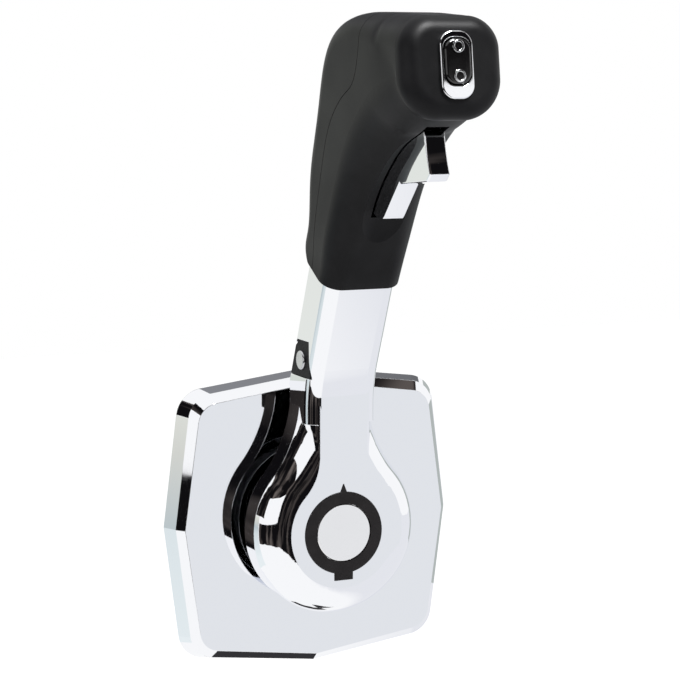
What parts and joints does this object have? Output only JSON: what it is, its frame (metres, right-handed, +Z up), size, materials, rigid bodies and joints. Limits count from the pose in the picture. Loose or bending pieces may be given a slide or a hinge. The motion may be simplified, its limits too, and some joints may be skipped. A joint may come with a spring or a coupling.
{
  "type": "boat throttle control lever",
  "caption": "Side-mount boat throttle control: chromed barrel-shaped cover plate, swinging lever with round hub and neutral-lock trigger, black palm grip with trim rocker.",
  "frame": {"origin": "centre of the lever's pivot shaft at the mounting plate's back face, where it lies on the panel", "axes": "+Z up along the upright lever, +X to the right seen from the front, +Y into the panel; the lever stands out towards -Y"},
  "size_m": [0.1396, 0.2066, 0.2946],
  "materials": {
    "board_green": "lacquered",
    "bronze": "machined",
    "button_metal": "satin",
    "chrome": "mirror polish",
    "contact_brass": "plated",
    "gear_steel": "machined",
    "grip_plastic": "soft touch",
    "housing_plastic": "moulded",
    "magnet": "plated",
    "nylon": "moulded",
    "plate_metal": "cast",
    "plug_plastic": "matte",
    "ring_plastic": "satin",
    "rocker_gloss": "gloss",
    "rubber": "matte",
    "spring_steel": "satin",
    "stainless": "satin"
  },
  "bodies": {
    "base": {"cover_plate": "chrome", "mounting_plate": "plate_metal", "panel_gasket": "rubber", "cover_grommets": "rubber", "front_bush": "bronze", "shaft_seal": "rubber", "rear_bush": "bronze", "lock_ring": "stainless", "lock_ring_screws": "stainless", "gear_housing": "housing_plastic", "housing_lid": "housing_plastic", "housing_screws": "stainless", "lid_screws": "stainless", "board_screws": "stainless", "sensor_board": "board_green", "hall_sensors": "plug_plastic", "warm_up_switch": "plug_plastic", "harness_socket": "housing_plastic", "socket_pins": "contact_brass", "sensor_bushes": "bronze", "detent_spring": "spring_steel", "detent_screw": "stainless", "friction_shoe": "nylon", "friction_screw": "stainless", "friction_locknut": "stainless", "stop_pin": "stainless"},
    "lever": {"lever_arm": "chrome", "access_plug": "plug_plastic", "access_plug_screw": "stainless", "hub_ring": "ring_plastic", "hub_washer": "stainless", "hub_nut": "stainless", "main_shaft": "stainless", "gear_key": "gear_steel", "shaft_circlip": "spring_steel", "drive_gear": "gear_steel", "detent_disc": "gear_steel", "gear_spacer": "nylon", "lock_rod_guide": "bronze", "lock_spring": "spring_steel", "button_spring": "spring_steel", "front_grip": "grip_plastic", "rear_grip": "grip_plastic", "grip_screws": "stainless", "switch_bezel": "chrome", "trim_switch_body": "plug_plastic", "rocker_pin": "stainless"},
    "button": {"warm_up_button": "button_metal", "button_pushrod": "nylon"},
    "lock": {"lock_rod": "stainless", "lock_trigger": "chrome"},
    "rocker": {"trim_rocker": "rocker_gloss", "rocker_pips": "chrome"},
    "sensor_left": {"sensor_gear_left": "nylon", "sensor_magnet_left": "magnet"},
    "sensor_right": {"sensor_gear_right": "nylon", "sensor_magnet_right": "magnet"}
  },
  "joints": [
    {"name": "lever_swing", "type": "hinge", "parent": "base", "child": "lever", "pos_m": [0, 0, 0], "axis": [0, -1, 0], "range_deg": [-65, 85], "deforming": ["detent_spring"]},
    {"name": "warm_up_press", "type": "slide", "parent": "lever", "child": "button", "axis": [0, 1, 0], "range_m": [0, 0.003], "stiffness_N_per_m": 400, "springref_m": -0.003, "deforming": ["button_spring"]},
    {"name": "lock_lift", "type": "slide", "parent": "lever", "child": "lock", "axis": [0, -0.3987, 0.9171], "range_m": [0, 0.0045], "stiffness_N_per_m": 600, "springref_m": -0.006, "deforming": ["lock_spring"]},
    {"name": "trim_rock", "type": "hinge", "parent": "lever", "child": "rocker", "pos_m": [0, -0.14569, 0.20576], "axis": [1, 0, 0], "range_deg": [-5, 5], "stiffness_Nm_per_rad": 0.3},
    {"name": "sensor_left_spin", "type": "hinge", "parent": "base", "child": "sensor_left", "pos_m": [-0.01697, 0.01, -0.03175], "axis": [0, -1, 0], "range_deg": [-171, 131]},
    {"name": "sensor_right_spin", "type": "hinge", "parent": "base", "child": "sensor_right", "pos_m": [0.01697, 0.01, -0.03175], "axis": [0, -1, 0], "range_deg": [-171, 131]}
  ],
  "couplings": [
    {"joint": "sensor_left_spin", "follows": "lever_swing", "ratio": -2},
    {"joint": "sensor_right_spin", "follows": "lever_swing", "ratio": -2}
  ]
}
